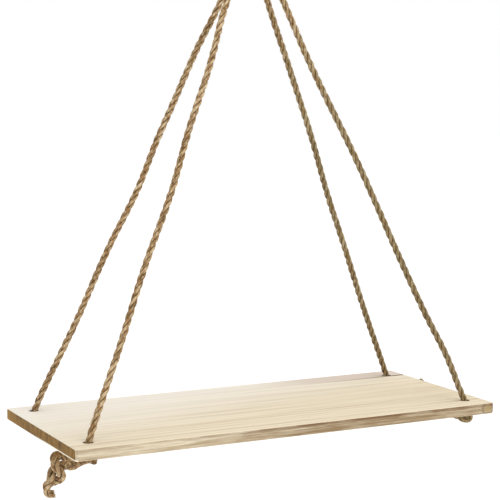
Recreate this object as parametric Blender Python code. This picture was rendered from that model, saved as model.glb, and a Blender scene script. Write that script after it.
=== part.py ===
"""Rope hanging shelf: one wooden board carried by two twisted jute ropes.

Metres, +Z up. The origin is where the hook bears, under the tops of the two rope loops.
X runs along the board, to the right; +Y is the back edge, towards the wall.
"""
import math

import bmesh
import bpy
import numpy as np

# Board
BOARD_LENGTH = 0.4330
BOARD_MIDDLE_X = 0.0015
BOARD_WIDTH = 0.190
BOARD_THICKNESS = 0.0105
CORNER_RADIUS = 0.0035
CORNER_STEPS = 6
EDGE_EASE = 0.0012
EDGE_STEPS = 2
END_ROUND = 0.0045
END_ROUND_STEPS = 6

# Rope holes, drilled from the top; the right pair sits a little nearer its end
HOLE_RADIUS = 0.0044
HOLE_SIDES = 40
HOLE_EASE = 0.0006
HOLE_X = {"left": -0.1950, "right": 0.1990}
HOLE_Y = 0.0725

# Rope: three strands laid right-handed
ROPE_RADIUS = 0.00325
GROOVE_RADIUS = 0.0023
STRANDS = 3
LAY_LENGTH = 0.0264
STEPS_PER_LAY = 9

# Under the board nothing pulls on the rope, so its lay opens and it is thicker there, least at the tails
LOOSE_SWELL = 0.37
LOOSE_DEPTH = (0.012, 0.030)
TAIL_DEPTH = (0.053, 0.060)
TAIL_SHARE = 0.62

# Hanging: the loops lie side by side over the hook
BEARING_TO_BOARD = 0.4354
LOOP_RADIUS = 0.0070
LOOP_OFFSET = 0.0035
LOOP_ANGLES = (0, 45, 90, 135, 180)

SIDE = {"left": -1, "right": 1}
FACE = {"front": -1, "back": 1}

# The ropes aren't quite straight. Each row: height above the board, sideways sway, in mm
SWAY_DIRECTION = (0.89, -0.45)
SWAY = {
    ("left", "back"): [
        (385, 1.4), (345, -0.7), (295, -0.1), (251, 0.6), (209, 3.0),
        (172, 1.2), (130, 0.5), (88, 1.3), (46, 0.2), (12, -0.6),
    ],
    ("left", "front"): [
        (385, -4.4), (345, -2.3), (305, -0.9), (268, -1.2), (228, 0.8), (200, 1.1),
        (160, -0.5), (125, -0.8), (86, -0.1), (46, -0.4), (12, -0.6),
    ],
    ("right", "back"): [
        (387, -1.6), (342, -1.1), (295, -0.4), (248, -0.4), (199, -2.1),
        (148, -1.5), (96, -1.6), (42, -0.7), (12, 0.2),
    ],
    ("right", "front"): [
        (385, 0.0), (341, -1.4), (295, -0.9), (250, 0.8), (204, 0.9), (158, 0.1),
        (115, -0.2), (80, 0.5), (52, 2.2), (28, 1.6), (11, 0.4),
    ],
}

# Rope ends under the board, from the free end up to the hole.
# Each row: x, y, z in mm, with z from the board's top face
END_ROUTE = {
    ("left", "back"): [
        # cut end, behind the front leg's tail
        (-198.6, 15.3, -53.8), (-195.8, 13.0, -54.2), (-193.4, 9.1, -52.4), (-192.5, 3.1, -48.4),
        # down in front of the front leg's end, read upwards
        (-194.9, -1.3, -43.8), (-197.5, -2.0, -40.3), (-199.2, -0.6, -37.1), (-199.4, 1.9, -33.7),
        # a turn close under the board
        (-198.8, 4.7, -30.7), (-196.2, 8.1, -29.6), (-191.0, 13.1, -31.3), (-186.0, 15.9, -33.9),
        (-180.7, 17.9, -35.7),
        # back along the underside to the hole
        (-176.0, 20.5, -34.1), (-176.9, 25.4, -29.6), (-184.1, 30.2, -24.0), (-189.4, 41.4, -20.8),
        (-192.7, 54.3, -18.8), (-194.6, 64.5, -18.0), (-195.0, 69.0, -16.8), (-195.0, 71.6, -13.8),
        (-195.0, 72.4, -10.0),
    ],
    ("left", "front"): [
        # curled free tail
        (-200.3, 3.4, -63.5), (-203.1, 4.0, -63.8), (-205.9, 4.7, -61.8), (-206.8, 4.9, -58.4),
        # up the left side and behind the back leg's end
        (-205.5, 4.5, -54.7), (-203.1, 3.7, -51.1), (-201.5, 5.4, -47.7), (-200.0, 9.5, -45.1),
        (-196.6, 11.9, -42.9), (-192.6, 11.0, -40.8), (-189.6, 5.9, -38.7), (-187.7, -2.3, -36.9),
        # along the underside to the hole
        (-190.0, -17.5, -33.4), (-189.4, -31.0, -27.8), (-189.2, -46.0, -22.4), (-188.6, -60.0, -18.6),
        (-188.8, -68.4, -17.6), (-190.2, -73.7, -16.4), (-192.9, -74.6, -13.5), (-194.7, -73.4, -9.6),
    ],
    ("right", "front"): [
        # free end, standing out past the board's end
        (243.0, 73.0, -9.4), (240.0, 67.6, -16.4), (234.0, 60.0, -21.2), (226.4, 52.4, -23.4),
        # round the back leg's end
        (218.2, 47.0, -24.0), (213.2, 47.0, -23.8), (208.4, 46.0, -26.6), (205.4, 42.4, -28.6),
        (203.6, 37.4, -28.0), (203.2, 32.2, -25.6), (202.8, 25.0, -20.4),
        # along the underside to the hole
        (200.8, 12.0, -18.6), (199.2, -6.0, -17.8), (198.8, -26.0, -17.4), (198.6, -46.0, -18.4),
        (198.8, -57.0, -18.0), (199.2, -64.0, -18.2), (200.2, -70.0, -19.6), (202.0, -74.6, -18.8),
        (202.2, -75.6, -15.0), (199.4, -73.1, -11.0),
    ],
    ("right", "back"): [
        # cut end
        (220.2, 51.6, -36.6), (217.6, 46.2, -34.6), (216.6, 40.6, -31.4), (214.4, 37.4, -26.0),
        # over the front leg's end
        (211.0, 37.8, -21.2), (207.0, 38.2, -18.8), (202.6, 39.6, -18.4), (199.4, 43.6, -18.4),
        # to the hole
        (198.6, 50.0, -18.4), (198.8, 58.0, -18.6), (199.0, 64.5, -18.2), (199.0, 69.0, -16.8),
        (199.0, 71.6, -13.8), (199.0, 72.4, -10.0),
    ],
}
HOLE_MID_DEPTH = 0.0040

# Colours, linear
WOOD_COLOR = (0.74, 0.62, 0.44, 1.0)
ROPE_COLOR = (0.36, 0.22, 0.10, 1.0)


def clear_scene():
    for item in list(bpy.data.objects):
        bpy.data.objects.remove(item, do_unlink=True)


def material(name, color, roughness):
    made = bpy.data.materials.new(name)
    made.use_nodes = True
    shader = made.node_tree.nodes["Principled BSDF"]
    shader.inputs["Base Color"].default_value = color
    shader.inputs["Roughness"].default_value = roughness
    shader.inputs["Metallic"].default_value = 0.0
    return made


def add_cutter(name, bm):
    """A tool body that the finished shelf leaves out."""
    mesh = bpy.data.meshes.new(name)
    bm.to_mesh(mesh)
    bm.free()
    cutter = bpy.data.objects.new(name, mesh)
    bpy.context.collection.objects.link(cutter)
    cutter.hide_render = True
    cutter.display_type = 'WIRE'
    return cutter


def make_board():
    """A plank with rounded corners, eased edges and four drilled rope holes."""
    bm = bmesh.new()
    bmesh.ops.create_cube(bm, size=1.0)
    bmesh.ops.scale(bm, vec=(BOARD_LENGTH, BOARD_WIDTH, BOARD_THICKNESS), verts=bm.verts)
    bmesh.ops.translate(bm, vec=(BOARD_MIDDLE_X, 0, -BOARD_THICKNESS / 2), verts=bm.verts)
    upright = [e for e in bm.edges if abs(e.verts[0].co.z - e.verts[1].co.z) > BOARD_THICKNESS / 2]
    bmesh.ops.bevel(
        bm, geom=upright, offset=CORNER_RADIUS, segments=CORNER_STEPS, profile=0.5, affect='EDGES')
    rims = [e for e in bm.edges if abs(e.verts[0].co.z - e.verts[1].co.z) < 1e-6]
    bmesh.ops.bevel(bm, geom=rims, offset=EDGE_EASE, segments=EDGE_STEPS, profile=0.5, affect='EDGES')
    mesh = bpy.data.meshes.new("board")
    bm.to_mesh(mesh)
    bm.free()
    board = bpy.data.objects.new("board", mesh)
    bpy.context.collection.objects.link(board)
    board.location.z = -BEARING_TO_BOARD
    board.data.materials.append(material("board_wood", WOOD_COLOR, 0.62))

    for side in SIDE:
        for face in FACE:
            drill = make_drill("drill_%s_%s" % (side, face))
            drill.location = (HOLE_X[side], FACE[face] * HOLE_Y, -BEARING_TO_BOARD)
            cut = board.modifiers.new("hole_%s_%s" % (side, face), 'BOOLEAN')
            cut.operation = 'DIFFERENCE'
            cut.solver = 'EXACT'
            cut.object = drill
    rounding = make_end_rounding()
    rounding.location.z = -BEARING_TO_BOARD
    cut = board.modifiers.new("right_end_rounding", 'BOOLEAN')
    cut.operation = 'DIFFERENCE'
    cut.solver = 'EXACT'
    cut.object = rounding
    board.data.shade_smooth()
    board.data.set_sharp_from_angle(angle=math.radians(35))
    return board


def make_drill(name):
    """A drill's outline turned about its axis, wider at both faces to ease the hole's rims."""
    over = 0.002
    outline = [
        (HOLE_RADIUS + HOLE_EASE + over, over),
        (HOLE_RADIUS, -HOLE_EASE),
        (HOLE_RADIUS, -BOARD_THICKNESS + HOLE_EASE),
        (HOLE_RADIUS + HOLE_EASE + over, -BOARD_THICKNESS - over),
    ]
    bm = bmesh.new()
    rings = []
    for radius, z in outline:
        ring = []
        for k in range(HOLE_SIDES):
            angle = 2 * math.pi * k / HOLE_SIDES
            ring.append(bm.verts.new((radius * math.cos(angle), radius * math.sin(angle), z)))
        rings.append(ring)
    for upper, lower in zip(rings, rings[1:]):
        for k in range(HOLE_SIDES):
            n = (k + 1) % HOLE_SIDES
            bm.faces.new((upper[k], lower[k], lower[n], upper[n]))
    bm.faces.new(rings[0])
    bm.faces.new(list(reversed(rings[-1])))
    bmesh.ops.recalc_face_normals(bm, faces=bm.faces)
    return add_cutter(name, bm)


def make_end_rounding():
    """What is taken off the right end's lower edge: a strip with a hollow side of END_ROUND radius."""
    over = 0.002
    end = BOARD_MIDDLE_X + BOARD_LENGTH / 2
    low = -BOARD_THICKNESS
    outline = [(end - END_ROUND, low - over), (end + over, low - over), (end + over, low + END_ROUND)]
    for k in range(END_ROUND_STEPS + 1):
        angle = 0.5 * math.pi * k / END_ROUND_STEPS
        outline.append((
            end - END_ROUND * (1 - math.cos(angle)),
            low + END_ROUND * (1 - math.sin(angle)),
        ))
    bm = bmesh.new()
    rows = []
    for y in (-BOARD_WIDTH / 2 - over, BOARD_WIDTH / 2 + over):
        rows.append([bm.verts.new((x, y, z)) for x, z in outline])
    count = len(outline)
    for k in range(count):
        n = (k + 1) % count
        bm.faces.new((rows[0][k], rows[0][n], rows[1][n], rows[1][k]))
    bm.faces.new(rows[0])
    bm.faces.new(rows[1])
    bmesh.ops.recalc_face_normals(bm, faces=bm.faces)
    return add_cutter("right_end_rounding", bm)


def loop_slope(side):
    """Sideways run of a leg for each metre it drops."""
    top = BEARING_TO_BOARD + ROPE_RADIUS
    return (abs(HOLE_X[side]) - LOOP_OFFSET) / top


def leg_point(side, face, height, sway):
    """A point on one leg: on the straight line from the hook to its hole, moved by its sway."""
    top = BEARING_TO_BOARD + ROPE_RADIUS
    start = np.array([
        SIDE[side] * (LOOP_OFFSET + loop_slope(side) * LOOP_RADIUS),
        FACE[face] * LOOP_RADIUS,
        top - LOOP_RADIUS,
    ])
    end = np.array([HOLE_X[side] - SIDE[side] * 0.0008, FACE[face] * (HOLE_Y - 0.0001), 0.0])
    point = start + (end - start) * (start[2] - height * 0.001) / start[2]
    point[0] += SWAY_DIRECTION[0] * sway * 0.001
    point[1] += SWAY_DIRECTION[1] * sway * 0.001
    return tuple(point)


def rope_route(side):
    """Route points from the back leg's free end, over the hook, to the front leg's free end."""
    first, last = "back", "front"
    points = [tuple(0.001 * c for c in row) for row in END_ROUTE[(side, first)]]
    points.append((HOLE_X[side], FACE[first] * HOLE_Y, -HOLE_MID_DEPTH))
    points += [leg_point(side, first, *row) for row in reversed(SWAY[(side, first)])]
    for degrees in LOOP_ANGLES:
        angle = math.radians(degrees)
        drop = LOOP_RADIUS * (1 - math.sin(angle))
        points.append((
            SIDE[side] * (LOOP_OFFSET + loop_slope(side) * drop),
            FACE[first] * LOOP_RADIUS * math.cos(angle),
            BEARING_TO_BOARD + ROPE_RADIUS - drop,
        ))
    points += [leg_point(side, last, *row) for row in SWAY[(side, last)]]
    points.append((HOLE_X[side], FACE[last] * HOLE_Y, -HOLE_MID_DEPTH))
    points += [tuple(0.001 * c for c in row) for row in reversed(END_ROUTE[(side, last)])]
    return [(x, y, z - BEARING_TO_BOARD) for x, y, z in points]


def ease(value, low, high):
    share = np.clip((value - low) / (high - low), 0.0, 1.0)
    return share * share * (3 - 2 * share)


def rope_swell(path):
    """How much thicker the rope is than under load, at each point of its path."""
    depth = -(path[:, 2] + BEARING_TO_BOARD)
    return 1 + LOOSE_SWELL * ease(depth, *LOOSE_DEPTH) * (1 - TAIL_SHARE * ease(depth, *TAIL_DEPTH))


def smooth_curve(points, step):
    """Natural cubic curve through the points, read at even steps along its length."""
    p = np.array(points, float)
    count = len(p)
    knots = np.concatenate([[0.0], np.cumsum(np.sqrt(np.linalg.norm(np.diff(p, axis=0), axis=1)))])
    gap = np.diff(knots)
    system = np.eye(count)
    right = np.zeros((count, 3))
    for i in range(1, count - 1):
        system[i, i - 1] = gap[i - 1]
        system[i, i] = 2 * (gap[i - 1] + gap[i])
        system[i, i + 1] = gap[i]
        right[i] = 6 * ((p[i + 1] - p[i]) / gap[i] - (p[i] - p[i - 1]) / gap[i - 1])
    bend = np.linalg.solve(system, right)
    t = np.linspace(0, knots[-1], 8000)
    k = np.clip(np.searchsorted(knots, t) - 1, 0, count - 2)
    a = (knots[k + 1] - t)[:, None]
    b = (t - knots[k])[:, None]
    h = gap[k][:, None]
    fine = (bend[k] * a ** 3 + bend[k + 1] * b ** 3) / (6 * h)
    fine += (p[k] / h - bend[k] * h / 6) * a + (p[k + 1] / h - bend[k + 1] * h / 6) * b
    run = np.concatenate([[0.0], np.cumsum(np.linalg.norm(np.diff(fine, axis=0), axis=1))])
    even = np.linspace(0, run[-1], int(round(run[-1] / step)) + 1)
    return np.stack([np.interp(even, run, fine[:, axis]) for axis in range(3)], axis=1)


def make_lay_section():
    """The rope's cross-section: one crest for each strand, a groove between neighbours."""
    curve = bpy.data.curves.new("lay_section", 'CURVE')
    curve.dimensions = '2D'
    spline = curve.splines.new('POLY')
    spline.points.add(2 * STRANDS - 1)
    for k, point in enumerate(spline.points):
        radius = ROPE_RADIUS if k % 2 == 0 else GROOVE_RADIUS
        angle = -math.pi * k / STRANDS
        point.co = (radius * math.cos(angle), radius * math.sin(angle), 0, 1)
    spline.use_cyclic_u = True
    section = bpy.data.objects.new("lay_section", curve)
    bpy.context.collection.objects.link(section)
    section.hide_render = True
    section.display_type = 'WIRE'
    return section


def make_rope(name, side, section, rope_material):
    """One rope: the lay section swept along its route and turned once for each lay length."""
    path = smooth_curve(rope_route(side), LAY_LENGTH / STEPS_PER_LAY)
    swell = rope_swell(path)
    curve = bpy.data.curves.new(name, 'CURVE')
    curve.dimensions = '3D'
    curve.twist_mode = 'MINIMUM'
    curve.bevel_mode = 'OBJECT'
    curve.bevel_object = section
    curve.use_fill_caps = True
    curve.render_resolution_u = 0
    spline = curve.splines.new('POLY')
    spline.points.add(len(path) - 1)
    for k, point in enumerate(spline.points):
        point.co = (*path[k], 1)
        point.tilt = 2 * math.pi * k / STEPS_PER_LAY
        point.radius = float(swell[k])
    rope = bpy.data.objects.new(name, curve)
    bpy.context.collection.objects.link(rope)
    rope.data.materials.append(rope_material)
    return rope


clear_scene()
make_board()
lay = make_lay_section()
jute = material("jute", ROPE_COLOR, 0.9)
make_rope("rope_left", "left", lay, jute)
make_rope("rope_right", "right", lay, jute)
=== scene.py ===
import math

import bpy
import numpy as np
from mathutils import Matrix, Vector


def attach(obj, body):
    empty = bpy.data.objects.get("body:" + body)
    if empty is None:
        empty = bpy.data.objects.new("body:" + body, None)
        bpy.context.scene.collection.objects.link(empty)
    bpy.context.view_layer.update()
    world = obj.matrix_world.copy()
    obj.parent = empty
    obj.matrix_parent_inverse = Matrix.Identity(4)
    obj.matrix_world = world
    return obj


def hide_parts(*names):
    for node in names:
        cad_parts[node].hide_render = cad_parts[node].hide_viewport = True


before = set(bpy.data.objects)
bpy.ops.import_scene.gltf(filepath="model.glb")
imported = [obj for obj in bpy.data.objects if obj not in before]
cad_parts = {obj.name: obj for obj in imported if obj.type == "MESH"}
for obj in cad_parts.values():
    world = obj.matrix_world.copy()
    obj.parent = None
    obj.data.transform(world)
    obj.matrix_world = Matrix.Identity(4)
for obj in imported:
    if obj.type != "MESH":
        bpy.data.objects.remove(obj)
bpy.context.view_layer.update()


# colours, smooth waves and new objects

def srgb(red, green, blue):
    # a colour as read on screen, turned into the linear values that the shaders take
    def one(value):
        value = value / 255
        return value / 12.92 if value <= 0.04045 else ((value + 0.055) / 1.055) ** 2.4
    return (one(red), one(green), one(blue), 1.0)


def unit(vectors):
    return vectors / np.maximum(np.linalg.norm(vectors, axis=-1, keepdims=True), 1e-12)


def wander(seed, run, spacing):
    # a smooth seeded wave between -1 and 1 along a run in metres
    rng = np.random.default_rng(seed)
    knots = rng.uniform(-1, 1, int(run[-1] / spacing) + 4)
    place = run / spacing + 1
    low = place.astype(int)
    part = place - low
    part = part * part * (3 - 2 * part)
    return knots[low] * (1 - part) + knots[low + 1] * part


def addObject(name, data):
    made = bpy.data.objects.new(name, data)
    bpy.context.scene.collection.objects.link(made)
    return made


# the camera, where the photo was taken from

camera = {
    "place": (-0.64879, -1.27991, -0.12992),
    "turn": (83.86, 0.0, -26.84),  # degrees
    "lens": 108.72,
}

cameraData = bpy.data.cameras.new("shelfCamera")
cameraData.lens = camera["lens"]
cameraData.sensor_width = 36
cameraData.clip_start = 0.02
cameraData.clip_end = 200
shelfCamera = addObject("shelfCamera", cameraData)
shelfCamera.location = camera["place"]
shelfCamera.rotation_euler = [math.radians(angle) for angle in camera["turn"]]
bpy.context.scene.camera = shelfCamera
print("camera set")


# how the two ropes hang, and how their strands lie

hang = {
    "boardTop": -0.4354,       # the board's upper face
    "holeX": {"left": -0.1950, "right": 0.1990},
    "holeY": 0.0725,
    "holeMid": -0.0040,        # below the upper face
    "ropeRadius": 0.00325,
    "loopRadius": 0.0070,      # middle of the rope, over the hook
    "loopOffset": 0.0035,      # the two loops lie side by side
    "loopAngles": (0, 45, 90, 135, 180),
    "swayDirection": (0.89, -0.45),
    "looseSwell": 0.37,        # under the board nothing pulls on the rope, so it is thicker there
    "looseDepth": (0.012, 0.030),
    "tailDepth": (0.053, 0.060),
    "tailShare": 0.62,         # how much of that swelling is gone at the tails
    "holeDrift": (0.0008, 0.0001),  # the rope enters its hole a little off the middle
}
sideSign = {"left": -1, "right": 1}
faceSign = {"front": -1, "back": 1}

# how far each leg strays from straight: height above the board, sideways sway, both in mm
sway = {
    ("left", "back"): [
        (385, 1.4), (345, -0.7), (295, -0.1), (251, 0.6), (209, 3.0),
        (172, 1.2), (130, 0.5), (88, 1.3), (46, 0.2), (12, -0.6),
    ],
    ("left", "front"): [
        (385, -4.4), (345, -2.3), (305, -0.9), (268, -1.2), (228, 0.8), (200, 1.1),
        (160, -0.5), (125, -0.8), (86, -0.1), (46, -0.4), (12, -0.6),
    ],
    ("right", "back"): [
        (387, -1.6), (342, -1.1), (295, -0.4), (248, -0.4), (199, -2.1),
        (148, -1.5), (96, -1.6), (42, -0.7), (12, 0.2),
    ],
    ("right", "front"): [
        (385, 0.0), (341, -1.4), (295, -0.9), (250, 0.8), (204, 0.9), (158, 0.1),
        (115, -0.2), (80, 0.5), (52, 2.2), (28, 1.6), (11, 0.4),
    ],
}

# the tied ends under the board, from the free end up to the hole: x, y, z in mm, z from the upper face
endRoute = {
    ("left", "back"): [
        # cut end, behind the front leg's tail
        (-198.6, 15.3, -53.8), (-195.8, 13.0, -54.2), (-193.4, 9.1, -52.4), (-192.5, 3.1, -48.4),
        # up in front of the front leg's end
        (-194.9, -1.3, -43.8), (-197.5, -2.0, -40.3), (-199.2, -0.6, -37.1), (-199.4, 1.9, -33.7),
        # a turn close under the board
        (-198.8, 4.7, -30.7), (-196.2, 8.1, -29.6), (-191.0, 13.1, -31.3), (-186.0, 15.9, -33.9),
        (-180.7, 17.9, -35.7),
        # back along the underside to the hole
        (-176.0, 20.5, -34.1), (-176.9, 25.4, -29.6), (-184.1, 30.2, -24.0), (-189.4, 41.4, -20.8),
        (-192.7, 54.3, -18.8), (-194.6, 64.5, -18.0), (-195.0, 69.0, -16.8), (-195.0, 71.6, -13.8),
        (-195.0, 72.4, -10.0),
    ],
    ("left", "front"): [
        # curled free tail
        (-200.3, 3.4, -63.5), (-203.1, 4.0, -63.8), (-205.9, 4.7, -61.8), (-206.8, 4.9, -58.4),
        # up the left side and behind the back leg's end
        (-205.5, 4.5, -54.7), (-203.1, 3.7, -51.1), (-201.5, 5.4, -47.7), (-200.0, 9.5, -45.1),
        (-196.6, 11.9, -42.9), (-192.6, 11.0, -40.8), (-189.6, 5.9, -38.7), (-187.7, -2.3, -36.9),
        # along the underside to the hole
        (-190.0, -17.5, -33.4), (-189.4, -31.0, -27.8), (-189.2, -46.0, -22.4), (-188.6, -60.0, -18.6),
        (-188.8, -68.4, -17.6), (-190.2, -73.7, -16.4), (-192.9, -74.6, -13.5), (-194.7, -73.4, -9.6),
    ],
    ("right", "front"): [
        # free end, standing out past the board's end
        (243.0, 73.0, -9.4), (240.0, 67.6, -16.4), (234.0, 60.0, -21.2), (226.4, 52.4, -23.4),
        # round the back leg's end
        (218.2, 47.0, -24.0), (213.2, 47.0, -23.8), (208.4, 46.0, -26.6), (205.4, 42.4, -28.6),
        (203.6, 37.4, -28.0), (203.2, 32.2, -25.6), (202.8, 25.0, -20.4),
        # along the underside to the hole
        (200.8, 12.0, -18.6), (199.2, -6.0, -17.8), (198.8, -26.0, -17.4), (198.6, -46.0, -18.4),
        (198.8, -57.0, -18.0), (199.2, -64.0, -18.2), (200.2, -70.0, -19.6), (202.0, -74.6, -18.8),
        (202.2, -75.6, -15.0), (199.4, -73.1, -11.0),
    ],
    ("right", "back"): [
        # cut end
        (220.2, 51.6, -36.6), (217.6, 46.2, -34.6), (216.6, 40.6, -31.4), (214.4, 37.4, -26.0),
        # over the front leg's end
        (211.0, 37.8, -21.2), (207.0, 38.2, -18.8), (202.6, 39.6, -18.4), (199.4, 43.6, -18.4),
        # to the hole
        (198.6, 50.0, -18.4), (198.8, 58.0, -18.6), (199.0, 64.5, -18.2), (199.0, 69.0, -16.8),
        (199.0, 71.6, -13.8), (199.0, 72.4, -10.0),
    ],
}

rope = {
    "step": 0.00084,           # between rings
    "layLength": 0.0264,       # one full turn of the three strands
    "strands": 3,
    "strandRadius": 0.00151,
    "strandOffset": 0.00167,   # from the rope's middle to a strand's middle
    "pointsRound": 16,
    "yarnTwist": 0.0150,       # the yarns in a strand turn back once in this run
    "yarnRelief": 0.00007,
    "frayLength": 0.007,       # the strands open up over this run at a cut end
    "frayOpen": 0.00055,
    "turnStray": (0.16, 0.05),      # of the whole lay, and of each strand, in radians
    "offsetStray": (0.03, 0.05),    # under load, and what looseness adds
    "sizeStray": (0.035, 0.05),
    "looseOffset": 1.18,
    "looseSize": 0.92,
    "holeShade": 0.008,             # reach of the painted shade on the rope above and below a hole
    "boardShadeFrom": (0.010, 0.016),     # depths below the board between which the rope gets painted shade from the board
    "boardShadeTo": (0.026, 0.038),
}
ends = {
    "left": {"exit": (-0.1985, 0.0095, -0.4700), "phase": 0.4, "seed": 11},
    "right": {"exit": (0.2190, 0.0500, -0.4688), "phase": 2.3, "seed": 47},
}


def legSlope(side):
    return (abs(hang["holeX"][side]) - hang["loopOffset"]) / (-hang["boardTop"] + hang["ropeRadius"])


def legPoint(side, face, height, stray):
    top = -hang["boardTop"] + hang["ropeRadius"]
    start = np.array([
        sideSign[side] * (hang["loopOffset"] + legSlope(side) * hang["loopRadius"]),
        faceSign[face] * hang["loopRadius"],
        top - hang["loopRadius"],
    ])
    driftX, driftY = hang["holeDrift"]
    end = np.array([
        hang["holeX"][side] - sideSign[side] * driftX, faceSign[face] * (hang["holeY"] - driftY), 0.0])
    point = start + (end - start) * (start[2] - height * 0.001) / start[2]
    point[0] += hang["swayDirection"][0] * stray * 0.001
    point[1] += hang["swayDirection"][1] * stray * 0.001
    return tuple(point)


def ropeRoute(side):
    # from the back leg's free end, up, over the hook, and down to the front leg's free end
    points = [tuple(0.001 * c for c in row) for row in endRoute[(side, "back")]]
    points.append((hang["holeX"][side], hang["holeY"], hang["holeMid"]))
    points += [legPoint(side, "back", *row) for row in reversed(sway[(side, "back")])]
    for degrees in hang["loopAngles"]:
        angle = math.radians(degrees)
        drop = hang["loopRadius"] * (1 - math.sin(angle))
        points.append((
            sideSign[side] * (hang["loopOffset"] + legSlope(side) * drop),
            hang["loopRadius"] * math.cos(angle),
            -hang["boardTop"] + hang["ropeRadius"] - drop,
        ))
    points += [legPoint(side, "front", *row) for row in sway[(side, "front")]]
    points.append((hang["holeX"][side], -hang["holeY"], hang["holeMid"]))
    points += [tuple(0.001 * c for c in row) for row in reversed(endRoute[(side, "front")])]
    return [(x, y, z + hang["boardTop"]) for x, y, z in points]


def ease(value, low, high):
    share = np.clip((value - low) / (high - low), 0.0, 1.0)
    return share * share * (3 - 2 * share)


def looseness(path):
    # 0 under load, 1 where the lay has opened below the board
    depth = hang["boardTop"] - path[:, 2]
    return ease(depth, *hang["looseDepth"]) * (1 - hang["tailShare"] * ease(depth, *hang["tailDepth"]))


def smoothCurve(points, step):
    # natural cubic through the points, read at even steps
    p = np.array(points, float)
    count = len(p)
    knots = np.concatenate([[0.0], np.cumsum(np.sqrt(np.linalg.norm(np.diff(p, axis=0), axis=1)))])
    gap = np.diff(knots)
    system = np.eye(count)
    right = np.zeros((count, 3))
    for i in range(1, count - 1):
        system[i, i - 1] = gap[i - 1]
        system[i, i] = 2 * (gap[i - 1] + gap[i])
        system[i, i + 1] = gap[i]
        right[i] = 6 * ((p[i + 1] - p[i]) / gap[i] - (p[i] - p[i - 1]) / gap[i - 1])
    bend = np.linalg.solve(system, right)
    t = np.linspace(0, knots[-1], 8000)
    k = np.clip(np.searchsorted(knots, t) - 1, 0, count - 2)
    a = (knots[k + 1] - t)[:, None]
    b = (t - knots[k])[:, None]
    h = gap[k][:, None]
    fine = (bend[k] * a ** 3 + bend[k + 1] * b ** 3) / (6 * h)
    fine += (p[k] / h - bend[k] * h / 6) * a + (p[k + 1] / h - bend[k + 1] * h / 6) * b
    run = np.concatenate([[0.0], np.cumsum(np.linalg.norm(np.diff(fine, axis=0), axis=1))])
    even = np.linspace(0, run[-1], int(round(run[-1] / step)) + 1)
    return np.stack([np.interp(even, run, fine[:, axis]) for axis in range(3)], axis=1)


def carryFrame(path):
    # a direction across the path, carried along it without twisting
    tangent = unit(np.gradient(path, axis=0))
    across = np.zeros_like(path)
    seed = np.cross(tangent[0], (0.3, 0.9, 0.2))
    across[0] = seed / np.linalg.norm(seed)
    for i in range(1, len(path)):
        v = across[i - 1] - tangent[i] * np.dot(across[i - 1], tangent[i])
        across[i] = v / np.linalg.norm(v)
    return tangent, across, np.cross(tangent, across)


def layStrands(side):
    # the middle line and section directions of the three strands along one rope
    path = smoothCurve(ropeRoute(side), rope["step"])
    tangent, across, up = carryFrame(path)
    run = np.concatenate([[0.0], np.cumsum(np.linalg.norm(np.diff(path, axis=0), axis=1))])
    seed = ends[side]["seed"]
    loose = looseness(path)
    toEnd = np.minimum(run, run[-1] - run)
    opened = np.clip(1 - toEnd / rope["frayLength"], 0, 1) ** 2
    wholeStray, ownStray = rope["turnStray"]
    turn = 2 * math.pi * run / rope["layLength"] + ends[side]["phase"] + wholeStray * wander(seed, run, 0.028)
    offsetStray = rope["offsetStray"][0] + rope["offsetStray"][1] * loose
    sizeStray = rope["sizeStray"][0] + rope["sizeStray"][1] * loose
    strands = []
    for k in range(rope["strands"]):
        angle = turn + 2 * math.pi * k / rope["strands"] + ownStray * wander(seed + 3 + k, run, 0.012)
        outward = across * np.cos(angle)[:, None] + up * np.sin(angle)[:, None]
        offset = rope["strandOffset"] * (1 + offsetStray * wander(seed + 7 + k, run, 0.011))
        offset = offset * (1 + rope["looseOffset"] * hang["looseSwell"] * loose)
        offset = offset + rope["frayOpen"] * opened * (0.7 + 0.5 * k / 2)
        middle = path + outward * offset[:, None]
        along = unit(np.gradient(middle, axis=0))
        out = unit(outward - along * np.sum(outward * along, axis=1, keepdims=True))
        size = rope["strandRadius"] * (1 + sizeStray * wander(seed + 12 + k, run, 0.010))
        size = size * (1 + rope["looseSize"] * hang["looseSwell"] * loose)
        size = size * (1 + 0.06 * opened)
        strands.append({
            "middle": middle, "along": along, "out": out, "side": np.cross(along, out), "size": size})
    return {"path": path, "tangent": tangent, "run": run, "loose": loose, "strands": strands}


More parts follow.
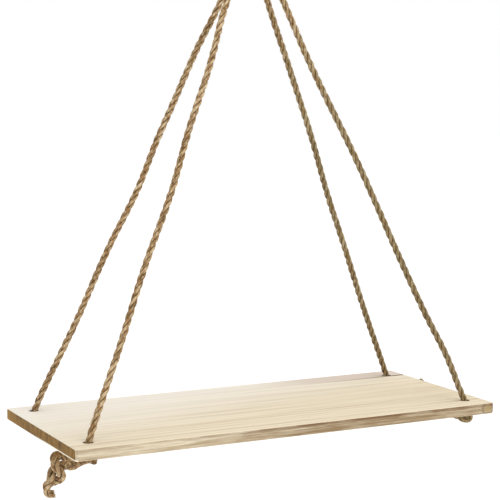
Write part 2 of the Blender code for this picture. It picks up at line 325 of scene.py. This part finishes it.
def buildRope(name, side, laid):
    # the three strands as one mesh, with the depth of each point in the lay, for painted shade in the hollows
    # between strands, and a slow colour change along it that also carries painted shade near the holes and
    # under the board
    points, uvs, faces = [], [], []
    creviceShade, toneAndShade = [], []
    run, path, tangent = laid["run"], laid["path"], laid["tangent"]
    rings, sides = len(run), rope["pointsRound"]
    seed = ends[side]["seed"]
    height = path[:, 2] - hang["boardTop"]
    # painted shade: the rope is darkened close above and below each hole, and where it hangs in the shadow
    # just under the board
    holeShadeOnRope = np.exp(-(height / rope["holeShade"]) ** 2)
    boardShadeOnRope = ease(-height, *rope["boardShadeFrom"]) * (1 - ease(-height, *rope["boardShadeTo"]))
    for k, strand in enumerate(laid["strands"]):
        back = -2 * math.pi * run / rope["yarnTwist"] + 0.5 * wander(seed + 20 + k, run, 0.02)
        ridges = np.stack([
            wander(seed + 40 + 31 * k + j, run, 0.006 + 0.0004 * j) for j in range(sides)], axis=1)
        angle = 2 * math.pi * np.arange(sides)[None, :] / sides + back[:, None]
        reach = strand["size"][:, None] + rope["yarnRelief"] * ridges
        reach[[0, -1]] *= 0.86
        ring = strand["middle"][:, None, :] + reach[..., None] * (
            np.cos(angle)[..., None] * strand["out"][:, None, :]
            + np.sin(angle)[..., None] * strand["side"][:, None, :])
        start = sum(len(p) for p in points)
        points.append(ring.reshape(-1, 3))
        # how deep each point lies in the lay, which the shader turns into painted shade in the hollows
        # between strands
        arm = ring - path[:, None, :]
        arm = arm - tangent[:, None, :] * np.sum(arm * tangent[:, None, :], axis=2, keepdims=True)
        full = (rope["strandOffset"] + rope["strandRadius"]) * (1 + hang["looseSwell"] * laid["loose"])
        depth = 1 - np.linalg.norm(arm, axis=2) / full[:, None]
        creviceShade.append(np.clip(depth / 0.42, 0, 1).reshape(-1))
        slow = 0.5 + 0.5 * wander(seed + 60 + k, run, 0.03)
        toneAndShade.append(np.repeat(slow - 0.7 * holeShadeOnRope - 0.9 * boardShadeOnRope + 0.2 * laid["loose"], sides))
        i, j = np.meshgrid(np.arange(rings - 1), np.arange(sides), indexing="ij")
        n = (j + 1) % sides
        quads = np.stack([i * sides + j, i * sides + n, (i + 1) * sides + n, (i + 1) * sides + j], axis=-1)
        faces.append((quads + start).reshape(-1, 4))
        u0, u1 = j / sides + k, (j + 1) / sides + k
        v0, v1 = run[i], run[i + 1]
        uv = np.stack([np.stack(c, axis=-1) for c in ((u0, v0), (u1, v0), (u1, v1), (u0, v1))], axis=-2)
        uvs.append(uv.reshape(-1, 4, 2))
    points = np.concatenate(points)
    quads = np.concatenate(faces)
    uvs = np.concatenate(uvs)
    creviceShade, toneAndShade = np.concatenate(creviceShade), np.concatenate(toneAndShade)
    allFaces = quads.tolist()
    extraPoints, extraUvs = [], []
    for k, strand in enumerate(laid["strands"]):  # close both ends of each strand
        for ringIndex, way in ((0, -1), (rings - 1, 1)):
            first = (k * rings + ringIndex) * sides
            tip = len(points) + len(extraPoints)
            extraPoints.append(strand["middle"][ringIndex] + way * 0.0005 * strand["along"][ringIndex])
            for j in range(sides):
                a, b = first + j, first + (j + 1) % sides
                allFaces.append((a, b, tip) if way > 0 else (b, a, tip))
                extraUvs += [(k + j / sides, run[ringIndex]), (k + (j + 1) / sides, run[ringIndex]),
                             (k + (j + 0.5) / sides, run[ringIndex])]
    points = np.concatenate([points, np.array(extraPoints)])
    creviceShade = np.concatenate([creviceShade, np.full(len(extraPoints), 0.25)])
    toneAndShade = np.concatenate([toneAndShade, np.full(len(extraPoints), 0.5)])

    mesh = bpy.data.meshes.new(name)
    mesh.from_pydata(points.tolist(), [], allFaces)
    layer = mesh.uv_layers.new(name="layUV")
    layer.data.foreach_set("uv", np.concatenate([uvs.reshape(-1), np.array(extraUvs).reshape(-1)]))
    for label, values in (("creviceShade", creviceShade), ("toneAndShade", toneAndShade)):
        mesh.attributes.new(label, "FLOAT", "POINT").data.foreach_set("value", values)
    mesh.shade_smooth()
    return addObject(name, mesh)


fibre = {
    "count": 2300,
    "brush": 46,               # at each strand's cut end
    "thick": 0.000055,
    "joints": 4,
    "length": (0.0022, 0.0042),    # shortest, and what chance adds
    "lift": (0.0004, 0.0013),
    "curl": 0.0005,
    "longShare": 0.05,
    "brushLength": (0.0012, 0.0030),
    "brushStart": 0.0006,      # roots inside the strand's cut end
}


def fannedOut(strand, i, angle):
    return math.cos(angle) * strand["out"][i] + math.sin(angle) * strand["side"][i]


def buildFibres(name, side, laid):
    # loose hairs that stand out of the lay, and a short brush at each cut end
    rng = np.random.default_rng(ends[side]["seed"] + 500)
    run = laid["run"]
    hairs = []
    for _ in range(fibre["count"]):
        i = int(rng.uniform(8, len(run) - 9))
        strand = laid["strands"][int(rng.integers(0, rope["strands"]))]
        angle = rng.uniform(-1.35, 1.35)
        out = fannedOut(strand, i, angle)
        base = strand["middle"][i] + out * (strand["size"][i] - 0.00012)
        way = 1 if rng.random() < 0.5 else -1
        lean = rng.normal(0, 0.35)
        along = laid["tangent"][i] * way + lean * np.cross(laid["tangent"][i], out)
        along = along / np.linalg.norm(along)
        length = fibre["length"][0] + fibre["length"][1] * rng.random() ** 1.7
        lift = fibre["lift"][0] + fibre["lift"][1] * rng.random() ** 2.2
        if rng.random() < fibre["longShare"]:
            length, lift = length * 1.5, lift * 1.7
        curl = rng.normal(0, fibre["curl"])
        aside = np.cross(along, out)
        t = np.linspace(0, 1, fibre["joints"] + 1)[:, None]
        hairs.append(base + along * length * t + out * lift * t ** 1.4 + aside * curl * t ** 2)
    for strand in laid["strands"]:
        for i, way in ((0, -1), (len(run) - 1, 1)):
            for _ in range(fibre["brush"]):
                angle = rng.uniform(0, 2 * math.pi)
                far = math.sqrt(rng.random()) * 0.85
                out = fannedOut(strand, i, angle)
                base = strand["middle"][i] + out * far * strand["size"][i]
                base = base - way * fibre["brushStart"] * strand["along"][i]
                length = rng.uniform(*fibre["brushLength"])
                spread = out * far * rng.uniform(0.2, 0.7) + rng.normal(0, 0.12, 3)
                t = np.linspace(0, 1, fibre["joints"] + 1)[:, None]
                hairs.append(base + way * strand["along"][i] * length * t + spread * length * t ** 1.5)
    points, faces = [], []
    for hair in hairs:
        thick = fibre["thick"] * rng.uniform(0.7, 1.3)
        direction = unit(np.gradient(hair, axis=0))
        cross = unit(np.cross(direction, (0.31, 0.52, 0.79)))
        other = np.cross(direction, cross)
        start = len(points)
        for r in range(len(hair)):
            size = thick * (1 - 0.75 * r / fibre["joints"])
            for j in range(3):
                a = 2 * math.pi * j / 3
                points.append(hair[r] + size * (math.cos(a) * cross[r] + math.sin(a) * other[r]))
        for r in range(len(hair) - 1):
            for j in range(3):
                n = (j + 1) % 3
                low, high = start + r * 3, start + r * 3 + 3
                faces.append((low + j, low + n, high + n, high + j))
        last = start + (len(hair) - 1) * 3
        faces.append((start + 2, start + 1, start))
        faces.append((last, last + 1, last + 2))
    mesh = bpy.data.meshes.new(name)
    mesh.from_pydata([tuple(p) for p in points], [], faces)
    mesh.shade_smooth()
    return addObject(name, mesh)


ropes, fuzz = {}, {}
for side in ("left", "right"):
    laid = layStrands(side)
    name = "rope" + side.capitalize()
    ropes[side] = buildRope(name + "Strands", side, laid)
    fuzz[side] = buildFibres(name + "Fibres", side, laid)
    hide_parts("rope_" + side)
    for piece in (ropes[side], fuzz[side]):
        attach(piece, "root")
    print(name, "laid,", round(float(laid["run"][-1]), 4), "m,", len(ropes[side].data.polygons), "faces")


# short ways to make shader nodes

def newMaterial(name):
    made = bpy.data.materials.new(name)
    made.use_nodes = True
    return made, made.node_tree, made.node_tree.nodes["Principled BSDF"]


def feed(tree, socket, value):
    if isinstance(value, bpy.types.NodeSocket):
        tree.links.new(value, socket)
    else:
        socket.default_value = value


def calc(tree, operation, first, second=None, third=None, clamp=False):
    made = tree.nodes.new("ShaderNodeMath")
    made.operation = operation
    made.use_clamp = clamp
    for socket, value in zip(made.inputs, (first, second, third)):
        if value is not None:
            feed(tree, socket, value)
    return made.outputs[0]


def fade(tree, value, low, high, toLow=0.0, toHigh=1.0):
    made = tree.nodes.new("ShaderNodeMapRange")
    made.interpolation_type = "SMOOTHSTEP"
    for label, given in (("Value", value), ("From Min", low), ("From Max", high),
                         ("To Min", toLow), ("To Max", toHigh)):
        feed(tree, made.inputs[label], given)
    return made.outputs[0]


def distance(tree, first, second):
    squared = calc(tree, "MULTIPLY", second, second)
    return calc(tree, "SQRT", calc(tree, "MULTIPLY_ADD", first, first, squared))


def swayed(tree, value, noise, middle, share, clamp=False):
    # a value that a noise moves up and down
    return calc(tree, "MULTIPLY_ADD", calc(tree, "SUBTRACT", noise, middle), share, value, clamp=clamp)


def blendColour(tree, share, first, second):
    made = tree.nodes.new("ShaderNodeMix")
    made.data_type = "RGBA"
    feed(tree, made.inputs[0], share)
    feed(tree, made.inputs[6], first)
    feed(tree, made.inputs[7], second)
    return made.outputs[2]


def joinXyz(tree, x, y, z):
    made = tree.nodes.new("ShaderNodeCombineXYZ")
    for socket, value in zip(made.inputs, (x, y, z)):
        feed(tree, socket, value)
    return made.outputs[0]


def splitXyz(tree, vector):
    made = tree.nodes.new("ShaderNodeSeparateXYZ")
    feed(tree, made.inputs[0], vector)
    return made.outputs[0], made.outputs[1], made.outputs[2]


def stretched(tree, parts, scales, detail=2.0, roughness=0.5, shift=0.0):
    # noise drawn out along one or more directions: the smaller the scale, the longer the streak
    made = tree.nodes.new("ShaderNodeTexNoise")
    made.inputs["Scale"].default_value = 1.0
    made.inputs["Detail"].default_value = detail
    made.inputs["Roughness"].default_value = roughness
    scaled = [calc(tree, "MULTIPLY_ADD", part, scale, shift) for part, scale in zip(parts, scales)]
    feed(tree, made.inputs["Vector"], joinXyz(tree, *scaled))
    return made.outputs[0]


def bumpOn(tree, shader, height, strength, distance):
    made = tree.nodes.new("ShaderNodeBump")
    made.inputs["Strength"].default_value = strength
    made.inputs["Distance"].default_value = distance
    feed(tree, made.inputs["Height"], height)
    tree.links.new(made.outputs[0], shader.inputs["Normal"])


def rampOf(tree, value, stops):
    made = tree.nodes.new("ShaderNodeValToRGB")
    ramp = made.color_ramp
    while len(ramp.elements) < len(stops):
        ramp.elements.new(0.5)
    for element, (place, colour) in zip(ramp.elements, stops):
        element.position = place
        element.color = colour
    feed(tree, made.inputs[0], value)
    return made.outputs[0]


# jute

jute = {
    "dark": srgb(100, 74, 42),
    "middle": srgb(163, 133, 94),
    "light": srgb(218, 195, 156),
    "rust": srgb(166, 116, 70),
    "olive": srgb(110, 106, 74),
    # colour of the painted shade in the hollows between the strands
    "groove": srgb(78, 56, 32),
    "fibreLow": srgb(150, 122, 84),
    "fibreHigh": srgb(214, 192, 152),
    "start": -1.395,           # the value on the ramp, and what each pattern adds to it
    "hairShare": 0.45,
    "yarnShare": 0.60,
    "speckleShare": 2.50,
    "toneShare": 0.26,
    "fleckShare": 0.60,
    "rustShare": 0.55,
    "oliveShare": 0.46,        # on the right rope
    "rough": (0.80, 0.95),
    "bump": (0.75, 0.00035),
}


def juteMaterial():
    made, tree, shader = newMaterial("twistedJute")
    uv = tree.nodes.new("ShaderNodeUVMap")
    uv.uv_map = "layUV"
    u, v, _ = splitXyz(tree, uv.outputs[0])
    creviceShade = tree.nodes.new("ShaderNodeAttribute")
    creviceShade.attribute_name = "creviceShade"
    toneAndShade = tree.nodes.new("ShaderNodeAttribute")
    toneAndShade.attribute_name = "toneAndShade"
    hairLines = stretched(tree, (u, v, 0.0), (52.0, 170.0, 1.0), detail=3.0, roughness=0.62)
    yarns = stretched(tree, (u, v, 0.0), (7.0, 75.0, 1.0), detail=2.0, shift=3.7)
    flecks = stretched(tree, (u, v, 0.0), (24.0, 420.0, 1.0), detail=2.0, shift=9.1)
    speckle = stretched(tree, (u, v, 0.0), (5.0, 230.0, 1.0), detail=3.0, roughness=0.7, shift=21.4)
    value = calc(tree, "MULTIPLY_ADD", hairLines, jute["hairShare"], jute["start"])
    value = calc(tree, "MULTIPLY_ADD", yarns, jute["yarnShare"], value)
    value = calc(tree, "MULTIPLY_ADD", speckle, jute["speckleShare"], value)
    value = calc(tree, "MULTIPLY_ADD", toneAndShade.outputs["Fac"], jute["toneShare"], value)
    colour = rampOf(tree, value, (
        (0.06, jute["dark"]), (0.42, jute["middle"]), (0.86, jute["light"])))
    colour = blendColour(tree, fade(tree, flecks, 0.56, 0.70, 0.0, jute["fleckShare"]), colour, jute["dark"])
    rusty = stretched(tree, (u, v, 0.0), (2.0, 260.0, 1.0), detail=2.0, shift=14.3)
    colour = blendColour(tree, fade(tree, rusty, 0.50, 0.66, 0.0, jute["rustShare"]), colour, jute["rust"])
    coords = tree.nodes.new("ShaderNodeTexCoord")
    x = splitXyz(tree, coords.outputs["Object"])[0]
    colour = blendColour(tree, fade(tree, x, 0.0, 0.08, 0.0, jute["oliveShare"]), colour, jute["olive"])
    # painted shade: the hollows between the strands are darkened, more where the yarns dip
    grooveShadeShare = fade(tree, creviceShade.outputs["Fac"], 0.30, 1.0, 0.0, 0.92)
    depth = calc(tree, "MULTIPLY", grooveShadeShare, fade(tree, yarns, 0.35, 0.60, 0.36, 0.80))
    colour = blendColour(tree, depth, colour, jute["groove"])
    feed(tree, shader.inputs["Base Color"], colour)
    feed(tree, shader.inputs["Roughness"], fade(tree, hairLines, 0.3, 0.7, *jute["rough"]))
    shader.inputs["Specular IOR Level"].default_value = 0.15
    shader.inputs["Sheen Weight"].default_value = 0.06
    shader.inputs["Sheen Roughness"].default_value = 0.5
    height = calc(tree, "MULTIPLY_ADD", yarns, 1.2, hairLines)
    bumpOn(tree, shader, height, *jute["bump"])
    return made


def juteFibreMaterial():
    made, tree, shader = newMaterial("jutesLooseFibres")
    coords = tree.nodes.new("ShaderNodeTexCoord")
    x, y, z = splitXyz(tree, coords.outputs["Object"])
    mottle = stretched(tree, (x, y, z), (420.0, 420.0, 420.0), detail=2.0)
    colour = blendColour(tree, fade(tree, mottle, 0.32, 0.68), jute["fibreLow"], jute["fibreHigh"])
    feed(tree, shader.inputs["Base Color"], colour)
    feed(tree, shader.inputs["Roughness"], fade(tree, mottle, 0.3, 0.7, 0.7, 0.9))
    shader.inputs["Specular IOR Level"].default_value = 0.3
    return made


ropeJute = juteMaterial()
fibreJute = juteFibreMaterial()
for side in ropes:
    ropes[side].data.materials.append(ropeJute)
    fuzz[side].data.materials.append(fibreJute)
print("jute done")


# the board's wood

board = {
    "ringMiddle": (0.340, -0.300),   # y, z of the log's heart, well behind the board
    "ringSpacing": 0.0031,
    "ringStray": (0.016, 0.0022),    # long bows and short ripples of the rings
    "backLine": 0.0675,              # y of the reddish line before the back edge
    "knotAt": (0.2105, -0.4405),     # x, z on the front face
    "knotFlat": 0.8,
    "knotRing": 0.0048,
    "holeRim": (0.0044, 0.0049),
    "rough": (0.52, 0.72),
    "bump": (0.22, 0.0002),
    "early": srgb(232, 219, 192),
    "late": srgb(182, 156, 118),
    "paleTop": srgb(244, 239, 230),
    "backBand": srgb(214, 198, 184),
    "redLine": srgb(128, 88, 62),
    "darkDash": srgb(84, 62, 46),
    # end grain colours, which also hold painted shade
    "endLight": srgb(168, 128, 62),
    "endDark": srgb(84, 56, 20),
    # colour of the painted shade on the front face, also used to brown the right end's upper arris
    "edgeTone": srgb(144, 120, 88),
    # brown of the painted shade line under the front face's upper edge, and of the knot's ring
    "edgeLine": srgb(122, 92, 66),
    "knotGold": srgb(166, 143, 92),
    # painted highlight on the left end's lower eased arris
    "arris": srgb(248, 240, 218),
    "bore": srgb(70, 46, 26),
}


def woodMaterial():
    made, tree, shader = newMaterial("planedPaleWood")
    coords = tree.nodes.new("ShaderNodeTexCoord")
    x, y, z = splitXyz(tree, coords.outputs["Object"])
    nx, ny, nz = splitXyz(tree, coords.outputs["Normal"])

    # growth rings, seen as long lines on the faces and as upright ones on the ends
    bow = stretched(tree, (x, y, z), (3.4, 16.0, 16.0), detail=2.0, shift=5.2)
    ripple = stretched(tree, (x, y, z), (14.0, 75.0, 75.0), detail=2.0, shift=1.3)
    across = calc(tree, "SUBTRACT", board["ringMiddle"][0], y)
    above = calc(tree, "SUBTRACT", z, board["ringMiddle"][1])
    radius = distance(tree, above, across)
    radius = calc(tree, "MULTIPLY_ADD", bow, board["ringStray"][0], radius)
    radius = calc(tree, "MULTIPLY_ADD", ripple, board["ringStray"][1], radius)
    phase = calc(tree, "DIVIDE", radius, board["ringSpacing"])
    part = calc(tree, "FRACT", phase)
    line = rampOf(tree, part, (
        (0.0, (0.25, 0.25, 0.25, 1)), (0.10, (0, 0, 0, 1)), (0.50, (0.10, 0.10, 0.10, 1)),
        (0.82, (0.60, 0.60, 0.60, 1)), (0.93, (1, 1, 1, 1)), (1.0, (0.30, 0.30, 0.30, 1))))
    patch = stretched(tree, (x, phase, 0.0), (4.5, 0.55, 1.0), detail=2.0, shift=7.7)
    patch = fade(tree, patch, 0.34, 0.66, 0.15, 1.0)
    fineLines = stretched(tree, (x, y, z), (16.0, 1100.0, 1100.0), detail=2.0, roughness=0.6)
    softLines = stretched(tree, (x, y, z), (5.0, 210.0, 210.0), detail=2.0, shift=2.9)
    midLines = stretched(tree, (x, y, z), (3.5, 430.0, 430.0), detail=2.0, roughness=0.6, shift=8.8)
    amount = calc(tree, "MULTIPLY", line, patch)
    amount = calc(tree, "MULTIPLY", amount, 0.50)
    amount = swayed(tree, amount, midLines, 0.5, 1.5)
    amount = swayed(tree, amount, fineLines, 0.5, 0.75)
    amount = swayed(tree, amount, softLines, 0.40, 0.9, clamp=True)
    colour = blendColour(tree, amount, board["early"], board["late"])

    # the upper face is paler and whiter to the back and left
    upFace = fade(tree, nz, 0.5, 0.9)
    toLeft = calc(tree, "MULTIPLY_ADD", y, 2.6, calc(tree, "MULTIPLY", x, -0.75))
    paleTopShare = calc(tree, "MULTIPLY", fade(tree, toLeft, -0.16, 0.34), 0.75)
    colour = blendColour(tree, calc(tree, "MULTIPLY", upFace, paleTopShare), colour, board["paleTop"])

    # the back edge has a pinker band, with a reddish line before it that fades to the left
    stray = swayed(tree, y, bow, 0.5, 0.012)
    bandShare = calc(tree, "MULTIPLY", fade(tree, stray, 0.066, 0.072), fade(tree, x, 0.03, 0.13, 0.0, 0.85))
    colour = blendColour(tree, bandShare, colour, board["backBand"])
    nearLine = calc(tree, "ABSOLUTE", calc(tree, "SUBTRACT", stray, board["backLine"]))
    redShare = calc(tree, "MULTIPLY", fade(tree, nearLine, 0.0004, 0.0022, 1.0, 0.0),
                    fade(tree, x, 0.08, 0.20, 0.0, 0.80))
    colour = blendColour(tree, redShare, colour, board["redLine"])

    # a dark dash ends that line, and the right end's upper arris is browner
    darkDashShare = calc(tree, "MULTIPLY", fade(tree, nearLine, 0.0008, 0.0026, 1.0, 0.0),
                      fade(tree, x, 0.200, 0.204, 0.0, 0.9))
    colour = blendColour(tree, darkDashShare, colour, board["darkDash"])
    rightArris = calc(tree, "MULTIPLY", fade(tree, x, 0.2160, 0.2170), fade(tree, nz, 0.15, 0.4, 0.0, 0.75))
    colour = blendColour(tree, rightArris, colour, board["edgeTone"])

    # the front face: painted shade makes it darker than the upper face, more so to the right and a little
    # less again at that end, with grain streaks through it
    frontFace = fade(tree, ny, -0.85, -0.45, 1.0, 0.0)
    streaks = stretched(tree, (x, y, z), (30.0, 60.0, 620.0), detail=4.0, roughness=0.65, shift=4.4)
    toRight = fade(tree, x, -0.12, 0.06)
    nearEnd = fade(tree, x, 0.09, 0.15)
    frontShade = calc(tree, "MULTIPLY_ADD", toRight, 0.53, 0.38)
    frontShade = calc(tree, "MULTIPLY_ADD", nearEnd, -0.20, frontShade)
    frontShade = swayed(tree, frontShade, streaks, 0.5, 1.9, clamp=True)
    colour = blendColour(tree, calc(tree, "MULTIPLY", frontFace, frontShade), colour, board["edgeTone"])

    # a knot by the front face's right end, golden with a brown ring
    fromKnotX = calc(tree, "MULTIPLY", calc(tree, "SUBTRACT", x, board["knotAt"][0]), board["knotFlat"])
    fromKnotZ = calc(tree, "SUBTRACT", z, board["knotAt"][1])
    knotReach = distance(tree, fromKnotX, fromKnotZ)
    knotReach = swayed(tree, knotReach, streaks, 0.5, 0.003)
    knotShare = fade(tree, knotReach, 0.0022, 0.0040, 0.7, 0.0)
    colour = blendColour(tree, calc(tree, "MULTIPLY", frontFace, knotShare), colour, board["knotGold"])
    fromRing = calc(tree, "ABSOLUTE", calc(tree, "SUBTRACT", knotReach, board["knotRing"]))
    ringShare = fade(tree, fromRing, 0.0004, 0.0018, 0.55, 0.0)
    colour = blendColour(tree, calc(tree, "MULTIPLY", frontFace, ringShare), colour, board["edgeLine"])

    # painted shade: the brown line under the front face's upper edge, the shade of the eased arris, stronger
    # to the right and broken by streaks
    drop = calc(tree, "SUBTRACT", hang["boardTop"], z)
    arrisShadeShare = calc(tree, "MULTIPLY", fade(tree, drop, 0.0010, 0.0036, 1.0, 0.0),
                     fade(tree, x, -0.15, 0.10, 0.25, 1.0))
    arrisShadeShare = calc(tree, "MULTIPLY", arrisShadeShare, fade(tree, streaks, 0.36, 0.56, 0.35, 1.0))
    colour = blendColour(tree, calc(tree, "MULTIPLY", frontFace, arrisShadeShare), colour, board["edgeLine"])

    # the sawn ends show dark end grain, and their colour also holds painted shade, as they face away from the
    # light
    endFace = fade(tree, calc(tree, "ABSOLUTE", nx), 0.78, 0.93)
    uprights = stretched(tree, (x, y, z), (60.0, 620.0, 70.0), detail=3.0, roughness=0.6, shift=6.1)
    endAmount = fade(tree, uprights, 0.34, 0.66, 0.0, 0.75)
    endAmount = calc(tree, "MULTIPLY_ADD", line, 0.40, endAmount, clamp=True)
    endAmount = calc(tree, "MULTIPLY", endAmount, fade(tree, y, 0.055, 0.090, 1.0, 0.30))
    endGrainAndShade = blendColour(tree, endAmount, board["endLight"], board["endDark"])
    colour = blendColour(tree, endFace, colour, endGrainAndShade)

    # painted highlight: the lower eased arris of the left end catches the light and shows pale
    lowArrisHighlight = calc(tree, "MULTIPLY", fade(tree, drop, 0.0086, 0.0093), fade(tree, nx, -0.15, -0.35))
    lowArrisHighlight = calc(tree, "MULTIPLY", lowArrisHighlight, fade(tree, y, 0.02, -0.03))
    colour = blendColour(tree, lowArrisHighlight, colour, board["arris"])

    # inside the rope holes, and their rubbed rims
    fromSide = calc(tree, "SUBTRACT", calc(tree, "ABSOLUTE", y), hang["holeY"])
    dark = None
    for side in ("left", "right"):
        off = calc(tree, "SUBTRACT", x, hang["holeX"][side])
        share = fade(tree, distance(tree, off, fromSide), *board["holeRim"], 1.0, 0.0)
        dark = share if dark is None else calc(tree, "MAXIMUM", dark, share)
    colour = blendColour(tree, calc(tree, "MULTIPLY", dark, 0.85), colour, board["bore"])

    feed(tree, shader.inputs["Base Color"], colour)
    feed(tree, shader.inputs["Roughness"], fade(tree, fineLines, 0.25, 0.75, *board["rough"]))
    shader.inputs["Specular IOR Level"].default_value = 0.15
    height = calc(tree, "MULTIPLY_ADD", line, -0.35, fineLines)
    bumpOn(tree, shader, height, *board["bump"])
    return made


wood = woodMaterial()
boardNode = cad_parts["board"]
for materialSlot in boardNode.material_slots:
    materialSlot.material = wood
print("board grained")


# floor, background and light

studio = {
    "floorHeight": -2.6,
    "floorSize": 120.0,
    "background": 1.0,         # what the camera sees behind the shelf
    "fill": 0.62,              # even light from all round
    "floorGlow": 0.55,         # keeps the floor as white as the background
    "floorRough": 0.9,
}

bpy.ops.mesh.primitive_plane_add(size=studio["floorSize"], location=(0, 0, studio["floorHeight"]))
floor = bpy.context.object
floor.name = "paleFloor"
floorPaint, floorTree, floorShader = newMaterial("paleFloorPaint")
floorCoords = floorTree.nodes.new("ShaderNodeTexCoord")
fx, fy, fz = splitXyz(floorTree, floorCoords.outputs["Object"])
floorMottle = stretched(floorTree, (fx, fy, fz), (0.8, 0.8, 0.8), detail=2.0)
feed(floorTree, floorShader.inputs["Base Color"],
     blendColour(floorTree, floorMottle, (0.90, 0.90, 0.90, 1), (0.93, 0.93, 0.93, 1)))
floorShader.inputs["Roughness"].default_value = studio["floorRough"]
floorShader.inputs["Emission Color"].default_value = (1, 1, 1, 1)
floorShader.inputs["Emission Strength"].default_value = studio["floorGlow"]
floor.data.materials.append(floorPaint)

world = bpy.data.worlds.new("studio")
bpy.context.scene.world = world
world.use_nodes = True
worldTree = world.node_tree
plain = worldTree.nodes["Background"]
plain.inputs["Color"].default_value = (1, 1, 1, 1)
plain.inputs["Strength"].default_value = studio["fill"]
seen = worldTree.nodes.new("ShaderNodeBackground")
seen.inputs["Color"].default_value = (1, 1, 1, 1)
seen.inputs["Strength"].default_value = studio["background"]
lightPath = worldTree.nodes.new("ShaderNodeLightPath")
chosen = worldTree.nodes.new("ShaderNodeMixShader")
worldTree.links.new(lightPath.outputs["Is Camera Ray"], chosen.inputs[0])
worldTree.links.new(plain.outputs[0], chosen.inputs[1])
worldTree.links.new(seen.outputs[0], chosen.inputs[2])
worldTree.links.new(chosen.outputs[0], worldTree.nodes["World Output"].inputs["Surface"])


def softbox(name, place, aim, size, watts):
    lamp = bpy.data.lights.new(name, "AREA")
    lamp.shape = "RECTANGLE"
    lamp.size, lamp.size_y = size
    lamp.energy = watts
    made = addObject(name, lamp)
    made.location = place
    made.rotation_euler = (Vector(aim) - Vector(place)).to_track_quat("-Z", "Y").to_euler()


softbox("topSoftbox", (0.30, -0.35, 1.75), (0.0, 0.0, -0.43), (2.2, 1.8), 26)
softbox("frontSoftbox", (0.55, -2.3, 0.45), (0.0, 0.0, -0.35), (1.6, 1.2), 16)
bpy.context.scene.view_settings.view_transform = "Standard"
print("studio lit")
